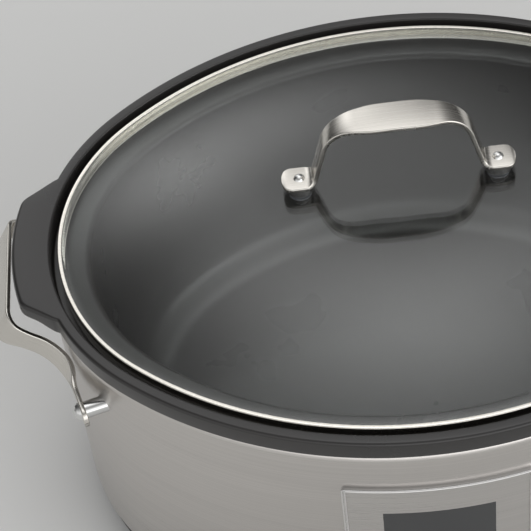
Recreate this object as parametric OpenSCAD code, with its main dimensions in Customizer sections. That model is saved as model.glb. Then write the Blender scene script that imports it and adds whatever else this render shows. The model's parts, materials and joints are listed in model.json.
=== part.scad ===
// Oval slow cooker: a steel housing, a lift-out stoneware crock and a glass lid.
// The frame: origin at the middle of the footprint on the table, +Z up, +X along the long
// axis, and -Y towards the cook, where the control panel is.
// Every wall follows one oval, the middle of the lid rim, at its own distance from it.
// Outlines of walls are given as [distance out from that oval, height].

/* [Oval] */
// Half the length of the lid rim, along X
lid_half_length = 180; // [150:1:216]
// Half the width of the lid rim, along Y
lid_half_width = 140; // [120:0.1:168]
// Radius of the two tight arcs at the ends of the oval
end_radius = 115; // [96:1:117]

/* [Crock] */
// Depth of the crock, from the lid seat down to its floor
crock_depth = 117.5; // [98:0.5:141]
// Thickness of the crock's wall
crock_wall = 7; // [5.8:0.1:8.4]
// Thickness of the crock's floor
crock_floor = 9; // [7.5:0.1:10.8]
// How far the cavity's wall leans in from the seat to the floor
cavity_lean = 8; // [4:0.5:12]
// Radius where the cavity's wall meets its floor
cavity_fillet = 24; // [16:1:30]
// Width of the flat seat that the lid rests on, inside the lid rim
seat_width = 15.5; // [13:0.5:18.5]
// How far the crock's rim stands out past the lid rim
rim_reach = 11.5; // [10.5:0.1:13.5]
// Width of the crock's rim, seen from above
rim_width = 6.3; // [5.3:0.1:7.5]
// Height of the crock's rim above the lid rim
rim_proud = 1; // [0.5:0.1:2]
// Height of the rim's outer face
rim_face = 12; // [10:0.5:14]
// How far the two lift tabs stand out past the lid rim
tab_reach = 25.6; // [22:0.2:28]
// Half the width of a lift tab at its outer edge
tab_half_width = 37; // [31:0.5:44]
// Thickness of a lift tab
tab_thickness = 9.5; // [8:0.5:11]

/* [Lid] */
// Height of the lid's steel rim, from the seat to its top
lid_rim_height = 10.5; // [9:0.1:12]
// Width of the lid's steel rim, seen from above
lid_rim_width = 2.4; // [2:0.1:3]
// Thickness of the rim's sheet steel
lid_rim_sheet = 0.8; // [0.6:0.1:0.9]
// Thickness of the glass
glass_thickness = 4; // [3.5:0.1:4.8]
// Height of the middle of the glass above the top of the lid rim
dome_rise = 24.6; // [20:0.1:30]

/* [Lid handle] */
// Distance between the two screws of the lid handle
lid_screw_spacing = 102; // [96:1:122]
// Height of the grip's middle above the pads of the lid handle
lid_grip_rise = 38.5; // [32:0.5:46]
// Half the length of the lid handle's grip
lid_grip_half = 34; // [31:0.5:36]
// Width of every handle's grip
grip_width = 19.5; // [16.5:0.5:23.5]
// Width of every handle's legs
leg_width = 11.5; // [10:0.5:13]
// Width of the lid handle's screwed pads
lid_pad_width = 16; // [13.4:0.2:19]
// Thickness of the handles' steel strap
strap = 2.6; // [2.2:0.1:3.1]
// Height of the spacers under the lid handle
lid_spacer_height = 4; // [3:0.5:6]

/* [Side handles] */
// Distance of each side handle's screws from the middle, along Y, at the housing
side_screw_y = 74.2; // [70:0.1:78]
// Half the length of a side handle's grip
side_grip_half = 36.7; // [33:0.1:39]
// How far a side handle's grip stands off its screws
side_grip_reach = 44.5; // [38:0.5:50]
// Width of a side handle's screwed pads
side_pad_width = 12; // [11.4:0.2:14]
// Radius of the bend between a side handle's pad and its leg
side_bend_radius = 26; // [20:1:28]
// Tilt of the side handles above level, in degrees
side_tilt = 30; // [20:1:38]
// How far the side handles' pads are turned towards the curve of the housing, in degrees
side_splay = 15; // [12:1:18]
// Gap between the housing and a side handle's pad, along the screw
side_standoff = 10; // [9.5:0.1:12]
// Depth of the side handles' screws below the lid rim
side_drop = 41; // [38:0.5:48]

/* [Housing] */
// How far the steel shell stands out past the lid rim
shell_reach = 8.7; // [8:0.1:10]
// Thickness of the shell's steel
shell_sheet = 1; // [0.8:0.1:1.2]
// Radius of the shell's shoulder
shoulder = 7; // [5:0.5:8]
// Thickness of the liner's steel
liner_sheet = 0.8; // [0.6:0.1:1]
// Gap between the crock and the liner around it
liner_gap = 3.5; // [2.9:0.1:4.2]
// Gap between the crock and the liner under it
under_gap = 4; // [3:0.5:5]
// Height of the wiring space between the base tray and the liner
wiring_space = 33.7; // [32:0.1:41]
// Height of the feet
foot_height = 8; // [7:0.5:10]
// Thickness of the base tray
tray_wall = 2.5; // [2:0.1:3]
// Height of the base tray's visible side
tray_side = 12; // [10:0.5:14]

/* [Heater] */
// Height of the heating band
band_height = 42; // [35:1:50]
// Thickness of the heating band
band_thickness = 2.5; // [2:0.1:3]
// Thickness of the insulation around the band
insulation = 4; // [3:0.5:4.5]

/* [Control panel] */
// Width of the control panel
panel_width = 95; // [90:1:104]
// Height of the control panel
panel_height = 100; // [92:1:104]
// Depth of the panel's top edge below the lid rim
panel_drop = 38; // [35:0.5:42]
// Width of the panel's polished frame
bezel_width = 2.5; // [2:0.1:3.5]
// How far the panel's frame stands out from the shell
bezel_proud = 2.4; // [2:0.1:3.2]
// Thickness of the panel's face plate
face_thickness = 1.2; // [1:0.1:1.5]
// Width of the display window
window_width = 56; // [48:1:64]
// Height of the display window
window_height = 27; // [22:1:32]
// Diameter of the buttons
button_d = 14; // [12:0.5:16]
// How far a button can be pressed
button_travel = 0.8; // [0.5:0.1:1]

/* [Fits] */
// Clearance round parts that lift out or slide
slide_gap = 0.3; // [0.2:0.05:0.5]
// Clearance round a screw in its hole, on the diameter
screw_play = 0.4; // [0.3:0.1:0.6]
// Diameter of the screws through the handles
handle_screw_d = 4; // [3:0.5:5]
// Bore of the gland for the power cord
gland_bore = 7.5; // [6.5:0.1:8.5]

/* [Hidden] */

turn_fn = 128;
round_fn = 48;
corner_steps = 6;
curve_steps = 12;
// Reach of the outlines that fill the oval to its middle, and of cutting blocks
filled = -400;
cutter = 600;
nudge = 1;

// The oval: two end arcs about (+-end_x, 0) and two side arcs about (0, -+side_y).
end_x = lid_half_length - end_radius;
side_radius = (end_x * end_x + lid_half_width * lid_half_width - end_radius * end_radius)
  / (2 * (lid_half_width - end_radius));
side_y = side_radius - lid_half_width;
side_angle = atan2(end_x, side_y);

// Heights, from the table up.
tray_top = foot_height + tray_wall;
liner_z = tray_top + wiring_space;
crock_z = liner_z + liner_sheet + under_gap;
cavity_z = crock_z + crock_floor;
seat_z = cavity_z + crock_depth;
rim_z = seat_z + lid_rim_height;
rim_top = rim_z + rim_proud;
rim_under = rim_top - rim_face;
shell_foot = foot_height + tray_side;

// Distances out from the oval.
groove_out = rim_reach - rim_width;
cavity_top_o = -seat_width;
cavity_foot_o = cavity_top_o - cavity_lean;
// Distance out of the crock's outer wall at a height.
function crock_out(z) = cavity_top_o - cavity_lean * (seat_z - z) / crock_depth + crock_wall;
function liner_in(z) = crock_out(z) + liner_gap;
function liner_out(z) = liner_in(z) + liner_sheet;
function band_out(z) = liner_out(z) + band_thickness;

// Lid.
glass_top_edge = rim_z - lid_rim_sheet;
glass_out = lid_rim_width / 2 - lid_rim_sheet;
dome_top = rim_z + dome_rise;
seal_washer = 0.8;
seal_washer_d = 14;
lower_washer = 1;
lower_washer_d = 12;
cap_nut_height = 6.5;
cap_nut_d = 8;
spacer_d = 15.2;
pad_reach = 9;
lid_screw_x = lid_screw_spacing / 2;
lid_pad_z = dome_top + seal_washer + lid_spacer_height + strap / 2;
lid_bend_x = lid_screw_x - 7.4;
grip_crown = 2.4;
head_d = 5.8;
head_height = 1.9;
screw_hole = handle_screw_d + screw_play;

// Side handles, drawn on the +X side.
side_z = rim_z - side_drop;
shell_x = end_x + sqrt(pow(end_radius + shell_reach, 2) - side_screw_y * side_screw_y);
side_pad_off = side_standoff + strap / 2;
side_pad_x = shell_x + side_pad_off * cos(side_splay);
side_pad_y = side_screw_y + side_pad_off * sin(side_splay);
side_bend_y = side_grip_half + 5.3;
side_head_d = 11;
side_head_height = 3.8;
side_spacer_d = 9;
side_washer = 1.6;
side_washer_d = 10;
side_nut_height = 3.2;
side_nut_width = 7;
// The angle between a side screw and the way square to the shell
screw_slant = asin(side_screw_y / (end_radius + shell_reach)) - side_splay;
washer_seat = shell_sheet / cos(screw_slant) + side_washer_d / 2 * tan(screw_slant) + side_washer;

// Control panel, set out about the axis of the front side arc.
panel_top = rim_z - panel_drop;
panel_foot = panel_top - panel_height;
panel_r = side_radius + shell_reach;
panel_half_angle = asin(panel_width / 2 / panel_r);
panel_side_border = 6;
panel_end_border = 10.5;
cut_half_angle = asin((panel_width / 2 - panel_side_border) / panel_r);
bezel_angle = bezel_width / panel_r * 180 / PI;
window_half_angle = asin(window_width / 2 / panel_r);
window_foot = panel_foot + panel_height * 0.52;
button_z = panel_foot + panel_height * 0.26;
button_flange = 1;
button_flange_d = button_d + 2.4;
button_pitch = (button_flange_d + 1.5) / panel_r * 180 / PI;
button_angles = [for (i = [0:3]) (i - 1.5) * button_pitch];
button_proud = 1.2;
flange_rest = shell_reach - slide_gap;
housing_front = flange_rest - button_flange - button_travel - slide_gap;
stem_d = 5;
board_sheet = 1.6;
board_y = side_y - side_radius;
board_half = panel_width / 2 - 12;
board_foot = panel_foot + 12;
board_top = panel_top - 12;
solder_space = 2.6;
housing_wall = 1.5;
housing_back = board_y + board_sheet + solder_space;
switch_body = 3.5;
switch_size = 6;
plunger = 1;
plunger_d = 3.4;
small_screw_d = 3;
small_head_d = 5.6;
small_head_height = 2;
boss_d = 6;
panel_boss = 4.2;
flange_out = shell_reach - panel_boss;
flange_sheet = 2;
// A flat screw head stands this far off a curved face
head_play = 0.05;
board_inset = 4;
display_depth = 4;

// Base.
shell_screw_angle = 40;
shell_screw_inset = 6;
foot_angle = 38;
foot_inset = 27;
foot_d = 26;
foot_stem_d = 8;
foot_cap_d = 11;
tray_out = shell_reach - 2.2;
base_screw_d = 3.5;
base_head_d = 7;
base_head_height = 2.2;
stud_d = 6;
stud_plate_d = 30;
stud_plate = 2;
centre_washer_d = 20;
centre_washer_height = 1.5;
centre_nut_width = 10;
centre_nut_height = 4;
power_x = 68;
power_y = 0;
power_length = 84;
power_width = 62;
power_post = 6;
power_z = tray_top + power_post;
power_hole_inset = 5;
relay_size = [19, 15.5, 14];
capacitor_d = 12;
capacitor_height = 15;
terminal_size = [30, 10, 10];
gland_z = shell_foot + 16;
gland_body_d = 13;
gland_flange_d = 18;
gland_flange = 2.6;
gland_tail = 12;

// ---- Outlines ----

function unit(v) = v / norm(v);
function flat(p) = [p.x, p.y];

// The arc of radius r that rounds corner b, between a and c.
function corner(a, b, c, r, steps) =
  let(
    u = unit(a - b),
    v = unit(c - b),
    half = acos(u * v) / 2,
    reach = r / tan(half),
    middle = b + unit(u + v) * r / sin(half),
    first = b + u * reach - middle,
    last = b + v * reach - middle,
    from = atan2(first.y, first.x),
    turn = (atan2(last.y, last.x) - from + 540) % 360 - 180
  )
  [for (i = [0:steps]) middle + r * [cos(from + turn * i / steps), sin(from + turn * i / steps)]];

function rounded_at(points, i, steps) =
  let(
    count = len(points),
    here = points[i],
    before = points[(i + count - 1) % count],
    after = points[(i + 1) % count]
  )
  len(here) < 3 ? [here] : corner(flat(before), flat(here), flat(after), here[2], steps);

// A closed outline whose corners [x, y, r] are rounded at radius r.
function rounded(points, steps = corner_steps) =
  [for (i = [0:len(points) - 1]) each rounded_at(points, i, steps)];

// An open line whose corners are rounded the same way.
function bent(points, steps = corner_steps) =
  let(last = len(points) - 1)
  concat(
    [flat(points[0])],
    [for (i = [1:last - 1]) each rounded_at(points, i, steps)],
    [flat(points[last])]
  );

function beside(line, i, distance) =
  let(
    ahead = line[min(i + 1, len(line) - 1)],
    behind = line[max(i - 1, 0)],
    along = unit(ahead - behind)
  )
  line[i] + distance * [-along.y, along.x];

// The outline of a sheet of the given thickness that follows a line.
function sheet_outline(line, thickness) =
  let(last = len(line) - 1)
  concat(
    [for (i = [0:last]) beside(line, i, thickness / 2)],
    [for (i = [last:-1:0]) beside(line, i, -thickness / 2)]
  );

// ---- Shared shapes ----

// One arc of the oval: the outline turned about (x, y), out at radius r, within a region.
module oval_arc(x, y, r, region)
  intersection() {
    translate([x, y, 0])
      rotate_extrude($fn = turn_fn)
        intersection() {
          translate([r, 0])
            children();
          translate([0, -cutter])
            square([2 * cutter, 2 * cutter]);
        }
    translate([0, 0, -nudge])
      linear_extrude(height = cutter)
        polygon(region);
  }

// A far point on the line where two arcs meet, in the quarter that x and y name.
function far(x, y) = [x * (end_x + cutter * sin(side_angle)), y * cutter * cos(side_angle)];

// The outline [distance out, height] carried all the way round the oval.
module oval() {
  for (x = [-1, 1])
    oval_arc(x * end_x, 0, end_radius, [[x * end_x, 0], far(x, -1), far(x, 1)])
      children();
  for (y = [-1, 1])
    oval_arc(0, -y * side_y, side_radius, [[-end_x, 0], [end_x, 0], far(1, y), far(-1, y)])
      children();
}

// Everything within a distance of the oval, between two heights.
module oval_block(out, foot, top)
  oval()
    polygon([[filled, foot], [out, foot], [out, top], [filled, top]]);

// A panel piece: it follows the front of the shell, to either side of the middle.
module front_band(half_angle, inner, outer, foot, top)
  translate([0, side_y, 0])
    rotate([0, 0, -90 - half_angle])
      rotate_extrude(angle = 2 * half_angle, $fn = 4 * turn_fn)
        polygon([
          [side_radius + inner, foot], [side_radius + outer, foot],
          [side_radius + outer, top], [side_radius + inner, top]
        ]);

// Places children on the front of the shell, with +Z pointing straight out of it.
module on_front(angle, out, z)
  translate([0, side_y, 0])
    rotate([0, 0, angle - 90])
      translate([side_radius + out, 0, z])
        rotate([0, 90, 0])
          children();

module four_ways()
  for (x = [0, 1], y = [0, 1])
    mirror([x, 0, 0])
      mirror([0, y, 0])
        children();

module two_ends()
  for (x = [0, 1])
    mirror([x, 0, 0])
      children();

module rod(d, h)
  cylinder(d = d, h = h, $fn = round_fn);

// A screw with a domed head above z = 0 and its shank below.
module dome_screw(d, length, head_d, head_height) {
  radius = (head_d * head_d / 4 + head_height * head_height) / (2 * head_height);
  reach = asin(head_d / 2 / radius);
  rotate_extrude($fn = round_fn)
    polygon(concat(
      [[0, 0]],
      [for (i = [0:corner_steps]) let(a = reach * (1 - i / corner_steps))
        [radius * sin(a), head_height - radius + radius * cos(a)]]
    ));
  translate([0, 0, -length])
    rod(d, length);
}

module ring(outer_d, inner_d, h)
  difference() {
    rod(outer_d, h);
    translate([0, 0, -nudge])
      rod(inner_d, h + 2 * nudge);
  }

module hex_nut(width, bore, h)
  difference() {
    cylinder(d = width / cos(30), h = h, $fn = 6);
    translate([0, 0, -nudge])
      rod(bore, h + 2 * nudge);
  }

// ---- Lid ----

glass_slot_foot = glass_top_edge - glass_thickness;

module lid_rim()
  color("gainsboro")
    oval()
      difference() {
        half = lid_rim_width / 2;
        polygon(rounded([
          [-half, rim_z, 0.6], [half, rim_z, 0.7], [half, seat_z, 0.3], [-half - 1, seat_z, 0.3],
          [-half - 1, seat_z + lid_rim_sheet], [half - lid_rim_sheet, seat_z + lid_rim_sheet],
          [half - lid_rim_sheet, glass_slot_foot - lid_rim_sheet],
          [-half, glass_slot_foot - lid_rim_sheet]
        ], 3));
        translate([-cutter, glass_slot_foot])
          square([cutter + half - lid_rim_sheet, glass_thickness]);
      }

// The dome: an arc that levels out where the end arcs have their centres.
dome_height = dome_top - glass_top_edge;
dome_edge = -lid_rim_width;
dome_span = end_radius + dome_edge;
dome_radius = (dome_span * dome_span + dome_height * dome_height) / (2 * dome_height);
function dome_z(out) =
  out < -end_radius ? dome_top : dome_top - dome_radius + sqrt(dome_radius * dome_radius
    - pow(out + end_radius, 2));
dome_outs = [for (i = [0:curve_steps]) dome_edge - dome_span * i / curve_steps];

module at_lid_screws()
  two_ends()
    translate([lid_screw_x, 0, 0])
      children();

module lid_glass()
  color("lightslategray", 0.4)
    difference() {
      oval()
        polygon(concat(
          [[filled, dome_top - glass_thickness]],
          [for (i = [curve_steps:-1:0]) [dome_outs[i], dome_z(dome_outs[i]) - glass_thickness]],
          [[glass_out, glass_slot_foot], [glass_out, glass_top_edge]],
          [for (out = dome_outs) [out, dome_z(out)]],
          [[filled, dome_top]]
        ));
      at_lid_screws()
        translate([0, 0, dome_top - glass_thickness - nudge])
          rod(screw_hole + 1, glass_thickness + 2 * nudge);
    }

// A quarter of the lid handle's outline from above: the grip is widest in its middle.
lid_strap_quarter = [
  [lid_grip_half - 20, grip_width / 2, 24], [lid_grip_half, leg_width / 2 - 0.2, 16],
  [lid_bend_x - 1, leg_width / 2 - 0.2, 5], [lid_bend_x + 3, lid_pad_width / 2, 3],
  [lid_screw_x + pad_reach, lid_pad_width / 2, 6]
];
function flipped(points) =
  [for (i = [len(points) - 1:-1:0]) [points[i].x, -points[i].y, points[i][2]]];
function turned(points) = [for (p = points) [-p.x, -p.y, p[2]]];
// The whole outline of a strap, from the quarter of it where x and y are above 0.
function strap_outline(quarter) =
  let(half = concat(quarter, flipped(quarter)))
  rounded(concat(half, turned(half)));

lid_strap_line = bent([
  [-lid_screw_x - pad_reach, lid_pad_z], [-lid_bend_x, lid_pad_z, 5.6],
  [-lid_grip_half, lid_pad_z + lid_grip_rise - grip_crown, 18],
  [0, lid_pad_z + lid_grip_rise, 240],
  [lid_grip_half, lid_pad_z + lid_grip_rise - grip_crown, 18],
  [lid_bend_x, lid_pad_z, 5.6], [lid_screw_x + pad_reach, lid_pad_z]
]);

module lid_handle()
  color("silver")
    difference() {
      intersection() {
        rotate([90, 0, 0])
          linear_extrude(height = grip_width + 2, center = true)
            polygon(sheet_outline(lid_strap_line, strap));
        translate([0, 0, dome_top])
          linear_extrude(height = lid_grip_rise + 20)
            polygon(strap_outline(lid_strap_quarter));
      }
      at_lid_screws()
        translate([0, 0, lid_pad_z - strap])
          rod(screw_hole, 2 * strap);
    }

module lid_handle_spacers()
  color("lightgray")
    at_lid_screws()
      translate([0, 0, dome_top + seal_washer])
        ring(spacer_d, screw_hole, lid_spacer_height);

module lid_seal_washers()
  color("dimgray")
    at_lid_screws()
      translate([0, 0, dome_top])
        ring(seal_washer_d, screw_hole, seal_washer);

module lid_lower_washers()
  color("dimgray")
    at_lid_screws()
      translate([0, 0, dome_top - glass_thickness - lower_washer])
        ring(lower_washer_d, screw_hole, lower_washer);

lid_nut_top = dome_top - glass_thickness - lower_washer;
lid_screw_length = lid_pad_z + strap / 2 - lid_nut_top + cap_nut_height - 2;

module lid_cap_nuts()
  color("lightgray")
    at_lid_screws()
      translate([0, 0, lid_nut_top - cap_nut_height])
        difference() {
          rotate_extrude($fn = round_fn)
            polygon(rounded([
              [0, 0], [cap_nut_d / 2, 0, 2], [cap_nut_d / 2, cap_nut_height], [0, cap_nut_height]
            ]));
          translate([0, 0, 1.5])
            rod(handle_screw_d + 0.1, cap_nut_height);
        }

module lid_handle_screws()
  color("lightgray")
    at_lid_screws()
      translate([0, 0, lid_pad_z + strap / 2])
        dome_screw(handle_screw_d, lid_screw_length, head_d, head_height);

// ---- Crock ----

tab_root_x = lid_half_length + rim_reach - 8;
tab_radius = end_radius + tab_reach;
tab_angle = asin(tab_half_width / tab_radius);
tab_corner = 9;
// The tab's outer edge is bowed, about the middle of the end arc.
function tab_edge(share) = [end_x + tab_radius * cos(tab_angle * share), tab_radius * sin(tab_angle * share)];
tab_outline = rounded(concat(
  [[lid_half_length - 30, -tab_half_width - 26], [tab_root_x, -tab_half_width - 12, 14]],
  [concat(tab_edge(-1), tab_corner)],
  [for (share = [-0.75:0.25:0.75]) tab_edge(share)],
  [concat(tab_edge(1), tab_corner)],
  [[tab_root_x, tab_half_width + 12, 14], [lid_half_length - 30, tab_half_width + 26]]
));
tab_foot = rim_top - tab_thickness;

module crock()
  color("dimgray")
    difference() {
      union() {
        oval()
          polygon(rounded([
            [filled, crock_z], [crock_out(crock_z), crock_z, cavity_fillet + crock_wall],
            [crock_out(rim_under), rim_under, 5], [rim_reach, rim_under, 2],
            [rim_reach, rim_top, 2], [filled, rim_top]
          ]));
        two_ends()
          translate([0, 0, tab_foot])
            linear_extrude(height = tab_thickness)
              polygon(tab_outline);
      }
      oval()
        polygon(rounded([
          [filled, cavity_z], [cavity_foot_o, cavity_z, cavity_fillet],
          [cavity_top_o, seat_z, 2.5], [groove_out, seat_z, 1.5],
          [groove_out, rim_top, 1], [groove_out + nudge, rim_top + nudge],
          [filled, rim_top + nudge]
        ]));
    }

// ---- Housing ----

liner_top = rim_under - slide_gap;
liner_bend = 3;
shell_lip = liner_in(liner_top) + liner_sheet / 2 + liner_bend + 0.5;
shell_top = liner_top - liner_sheet;
shell_middle = shell_reach - shell_sheet / 2;
shell_line = bent([
  [shell_lip, shell_top - shell_sheet / 2], [shell_middle, shell_top - shell_sheet / 2, shoulder],
  [shell_middle, shell_foot + shell_sheet / 2, 2], [-6, shell_foot + shell_sheet / 2]
]);

module at_side_screws()
  four_ways()
    translate([shell_x, side_screw_y, side_z])
      rotate([0, 90, side_splay])
        children();

shell_screw_x = end_x + (end_radius - shell_screw_inset) * cos(shell_screw_angle);
shell_screw_y = (end_radius - shell_screw_inset) * sin(shell_screw_angle);

module at_base_screws()
  four_ways()
    translate([shell_screw_x, shell_screw_y, 0])
      children();

module at_gland()
  translate([0, lid_half_width + shell_reach, gland_z])
    rotate([-90, 0, 0])
      children();

panel_screw_inset = bezel_width + boss_d / 2 + slide_gap;
panel_screw_angle = panel_half_angle - panel_screw_inset / panel_r * 180 / PI;
panel_screw_zs = [panel_foot + panel_screw_inset, panel_top - panel_screw_inset];

module at_panel_screws(out)
  for (angle = [-panel_screw_angle, panel_screw_angle], z = panel_screw_zs)
    on_front(angle, out, z)
      children();

module outer_shell()
  color("silver")
    difference() {
      oval()
        polygon(sheet_outline(shell_line, shell_sheet));
      front_band(cut_half_angle, shell_reach - 3 * shell_sheet, shell_reach + 3 * shell_sheet,
        panel_foot + panel_end_border, panel_top - panel_end_border);
      at_panel_screws(shell_reach - 3 * shell_sheet)
        rod(boss_d + screw_play, 6 * shell_sheet);
      at_side_screws()
        translate([0, 0, -4 * shell_sheet - side_washer_d])
          rod(screw_hole, 8 * shell_sheet + side_washer_d);
      at_base_screws()
        translate([0, 0, shell_foot - nudge])
          rod(base_screw_d, shell_sheet + 2 * nudge);
      at_gland()
        translate([0, 0, -3 * shell_sheet])
          rod(gland_body_d + 0.2, 6 * shell_sheet);
    }

liner_line = bent([
  [shell_reach - shoulder, liner_top - liner_sheet / 2],
  [liner_in(liner_top) + liner_sheet / 2, liner_top - liner_sheet / 2, liner_bend],
  [liner_in(liner_z) + liner_sheet / 2, liner_z + liner_sheet / 2, 12],
  [filled, liner_z + liner_sheet / 2]
]);

module inner_liner()
  color("dimgray")
    oval()
      polygon(sheet_outline(liner_line, liner_sheet));

band_foot = crock_z + 14;
band_top = band_foot + band_height;

module wall_strip(near, thickness, foot, top)
  oval()
    polygon([
      [liner_out(foot) + near, foot], [liner_out(foot) + near + thickness, foot],
      [liner_out(top) + near + thickness, top], [liner_out(top) + near, top]
    ]);

band_gap = 12;

// The slot where the ends of the band meet, at the back.
module band_slot(width)
  translate([-width / 2, 0, band_foot - nudge])
    cube([width, cutter, band_height + 2 * nudge]);

module heating_band()
  color("peru")
    difference() {
      wall_strip(0, band_thickness, band_foot, band_top);
      band_slot(band_gap);
    }

clamp_height = 8;
clamp_width = 4;

// Two straps with pulled-in bolts that bridge the slot in the band.
module band_clamps()
  color("lightgray")
    intersection() {
      for (z = [band_foot + 5, band_top - 5 - clamp_height])
        wall_strip(band_thickness, clamp_width, z, z + clamp_height);
      translate([-24, 0, band_foot])
        cube([48, cutter, band_height]);
    }

// The blanket stops at the control panel and at the clamps.
module insulation_wrap()
  color("khaki")
    difference() {
      wall_strip(band_thickness, insulation, band_foot, band_top);
      translate([-panel_width / 2 - 3, -cutter, band_foot - nudge])
        cube([panel_width + 6, cutter, band_height + 2 * nudge]);
      translate([-28, 0, band_foot - nudge])
        cube([56, cutter, band_height + 2 * nudge]);
    }

sensor_x = -48;
sensor_d = 12;
sensor_height = 7;

module thermostat_sensor()
  color("gold")
    translate([sensor_x, 0, liner_z - sensor_height]) {
      translate([0, 0, sensor_height - 1.5])
        rod(sensor_d + 8, 1.5);
      rod(sensor_d, sensor_height);
    }

fuse_x = -80;
fuse_d = 4;
fuse_length = 14;
clip_sheet = 1;

module thermal_fuse()
  color("tan")
    translate([fuse_x, -fuse_length / 2, liner_z - clip_sheet - fuse_d / 2])
      rotate([-90, 0, 0])
        rod(fuse_d, fuse_length);

module fuse_clip()
  color("gainsboro")
    translate([fuse_x, 0, liner_z])
      difference() {
        translate([-6, -4, -fuse_d - 2 * clip_sheet])
          cube([12, 8, fuse_d + 2 * clip_sheet]);
        translate([0, -5, -clip_sheet - fuse_d / 2])
          rotate([-90, 0, 0])
            rod(fuse_d, 10);
      }

// ---- Base ----

foot_x = end_x + (end_radius - foot_inset) * cos(foot_angle);
foot_y = (end_radius - foot_inset) * sin(foot_angle);

module at_feet()
  four_ways()
    translate([foot_x, foot_y, 0])
      children();

module at_power_screws()
  translate([power_x, power_y, 0])
    for (x = [-1, 1], y = [-1, 1])
      translate([x * (power_length / 2 - power_hole_inset), y * (power_width / 2 - power_hole_inset)])
        children();

module base_tray()
  color("#26262a")
    difference() {
      union() {
        oval()
          polygon(rounded([
            [filled, foot_height], [tray_out, foot_height, 3], [tray_out, shell_foot],
            [tray_out - tray_wall, shell_foot], [tray_out - tray_wall, tray_top],
            [filled, tray_top]
          ], 4));
        at_base_screws()
          translate([0, 0, tray_top - nudge])
            rod(base_head_d + 4, shell_foot - tray_top + nudge);
        at_power_screws()
          translate([0, 0, tray_top - nudge])
            rod(boss_d + 1, power_post + nudge);
      }
      at_base_screws() {
        translate([0, 0, foot_height - nudge])
          rod(base_screw_d + screw_play, tray_side + 2 * nudge);
        translate([0, 0, foot_height - nudge])
          rod(base_head_d + screw_play, base_head_height + nudge + 1.2);
      }
      at_power_screws()
        translate([0, 0, power_z - power_post])
          rod(small_screw_d + 0.1, power_post + nudge);
      at_feet()
        translate([0, 0, foot_height - nudge])
          rod(foot_stem_d + 0.1, tray_wall + 2 * nudge);
      translate([0, 0, foot_height - nudge])
        rod(stud_d + screw_play, tray_wall + 2 * nudge);
    }

module feet()
  color("#1a1a1a")
    at_feet()
      rotate_extrude($fn = round_fn)
        polygon(rounded([
          [0, 0], [foot_d / 2 - 1.5, 0, 1.5], [foot_d / 2, foot_height, 1],
          [foot_stem_d / 2, foot_height], [foot_stem_d / 2, tray_top],
          [foot_cap_d / 2, tray_top, 0.6], [foot_stem_d / 2 - 1, tray_top + 2.5, 0.6],
          [0, tray_top + 2.5]
        ], 3));

// The screws come up through the tray's posts into the shell's foot flange.
module base_screws()
  color("lightgray")
    at_base_screws() {
      translate([0, 0, foot_height + 1.2])
        rod(base_head_d, base_head_height);
      translate([0, 0, foot_height + 1.2 + base_head_height])
        rod(base_screw_d - 0.1, tray_side - base_head_height);
    }

module liner_stud()
  color("lightgray") {
    translate([0, 0, liner_z - stud_plate])
      rod(stud_plate_d, stud_plate);
    translate([0, 0, foot_height - centre_washer_height - centre_nut_height - 0.5])
      rod(stud_d, liner_z - stud_plate - foot_height + centre_washer_height
        + centre_nut_height + 0.5 + nudge);
  }

module centre_washer()
  color("gainsboro")
    translate([0, 0, foot_height - centre_washer_height])
      ring(centre_washer_d, stud_d + screw_play, centre_washer_height);

module centre_nut()
  color("silver")
    translate([0, 0, foot_height - centre_washer_height - centre_nut_height])
      hex_nut(centre_nut_width, stud_d + 0.1, centre_nut_height);

module power_board()
  color("darkgreen")
    difference() {
      translate([power_x - power_length / 2, power_y - power_width / 2, power_z])
        cube([power_length, power_width, board_sheet]);
      at_power_screws()
        translate([0, 0, power_z - nudge])
          rod(small_screw_d + screw_play, board_sheet + 2 * nudge);
    }

power_board_top = power_z + board_sheet;

module relay()
  color("royalblue")
    translate([power_x - 26, power_y - relay_size.y / 2, power_board_top])
      cube(relay_size);

module capacitor()
  color("dimgray")
    translate([power_x + 22, power_y + 8, power_board_top])
      rod(capacitor_d, capacitor_height);

module terminal_block()
  color("seagreen")
    translate([power_x + 4, power_y - power_width / 2 + 3, power_board_top])
      difference() {
        cube(terminal_size);
        for (i = [0:2])
          translate([5 + 10 * i, terminal_size.y / 2, 3])
            rod(4, terminal_size.z);
      }

module power_board_screws()
  color("lightgray")
    at_power_screws()
      translate([0, 0, power_board_top])
        dome_screw(small_screw_d, board_sheet + power_post - 1, small_head_d, small_head_height);

module cord_gland()
  color("#202020")
    at_gland()
      difference() {
        union() {
          translate([0, 0, 0.1])
            rod(gland_flange_d, gland_flange);
          translate([0, 0, -gland_tail])
            rod(gland_body_d, gland_tail + nudge);
        }
        translate([0, 0, -gland_tail - nudge])
          rod(gland_bore, gland_tail + gland_flange + 3 * nudge);
      }

// ---- Control panel ----

module panel_bezel()
  color("gainsboro")
    difference() {
      front_band(panel_half_angle, shell_reach, shell_reach + bezel_proud, panel_foot, panel_top);
      front_band(panel_half_angle - bezel_angle, shell_reach - nudge,
        shell_reach + bezel_proud + nudge, panel_foot + bezel_width, panel_top - bezel_width);
    }

face_out = shell_reach + face_thickness;

module at_buttons(out)
  for (angle = button_angles)
    on_front(angle, out, button_z)
      children();

module panel_face()
  color("lightgray")
    difference() {
      union() {
        front_band(panel_half_angle - bezel_angle, shell_reach, face_out,
          panel_foot + bezel_width, panel_top - bezel_width);
        at_panel_screws(flange_out)
          rod(boss_d, panel_boss + face_thickness / 2);
      }
      front_band(window_half_angle, shell_reach - nudge, face_out + nudge,
        window_foot, window_foot + window_height);
      at_buttons(shell_reach - nudge)
        rod(button_d + 2 * slide_gap, face_thickness + 2 * nudge);
      at_panel_screws(flange_out - nudge)
        rod(small_screw_d + 0.1, panel_boss + nudge);
    }

module display_window()
  color("black", 0.8)
    front_band(window_half_angle, shell_reach, face_out, window_foot, window_foot + window_height);

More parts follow.
